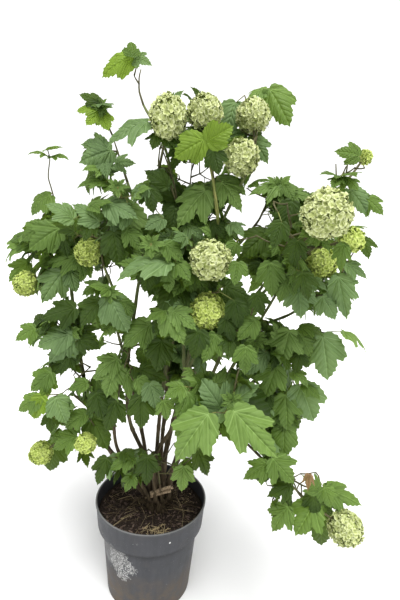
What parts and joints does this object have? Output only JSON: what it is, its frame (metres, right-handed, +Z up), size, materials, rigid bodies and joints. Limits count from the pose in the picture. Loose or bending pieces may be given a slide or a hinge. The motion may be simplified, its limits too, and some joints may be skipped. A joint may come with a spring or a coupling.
{
  "type": "potted flowering shrub",
  "caption": "Snowball viburnum in a round nursery pot: an open shrub on many slender stems, with lobed, toothed leaves in pairs and pale green ball-shaped flower heads.",
  "frame": {"origin": "centre of the pot's flat underside", "axes": "+Z up along the pot's axis; the side shown in the picture faces -Y; +X to its right"},
  "size_m": [0.8333, 0.7027, 1.3152],
  "materials": {
    "pot": "matte",
    "soil": "matte",
    "bark": "matte",
    "foliage": "matte"
  },
  "bodies": {
    "root": {"pot": "pot", "soil": "soil", "stump": "bark", "stem_left": "bark", "bough_left_mid": "bark", "bough_left_low": "bark", "bough_left_bottom": "bark", "stem_front_left": "bark", "stem_upper_left": "bark", "bough_left_row": "bark", "stem_top": "bark", "bough_top_left": "bark", "stem_front": "bark", "bough_centre_mid": "bark", "stem_centre": "bark", "bough_centre_upper": "bark", "bough_crest": "bark", "bough_top_right": "bark", "stem_right": "bark", "bough_centre_low": "bark", "bough_right_bottom": "bark", "bough_low_right": "bark", "stem_right_rear": "bark", "bough_right_edge": "bark", "bough_right_mid": "bark", "shoot_foot": "bark", "stem_back_left": "bark", "stem_back": "bark", "bough_back_low": "bark", "bough_back_top": "bark", "stem_back_right": "bark", "foliage_left_edge": "foliage", "foliage_left_mid": "foliage", "foliage_left_low": "foliage", "foliage_left_bottom": "foliage", "foliage_centre_left": "foliage", "foliage_upper_left": "foliage", "foliage_left_row": "foliage", "foliage_top_shoot": "foliage", "foliage_top_left": "foliage", "foliage_centre_front": "foliage", "foliage_centre_mid": "foliage", "foliage_top_centre": "foliage", "foliage_centre_upper": "foliage", "foliage_crest": "foliage", "foliage_top_right": "foliage", "foliage_right_low": "foliage", "foliage_centre_low": "foliage", "foliage_right_bottom": "foliage", "foliage_low_right": "foliage", "foliage_right_upper": "foliage", "foliage_right_edge": "foliage", "foliage_right_mid": "foliage", "foliage_foot": "foliage", "foliage_back_left": "foliage", "foliage_back": "foliage", "foliage_back_low": "foliage", "foliage_back_top": "foliage", "foliage_back_right": "foliage"}
  },
  "joints": []
}
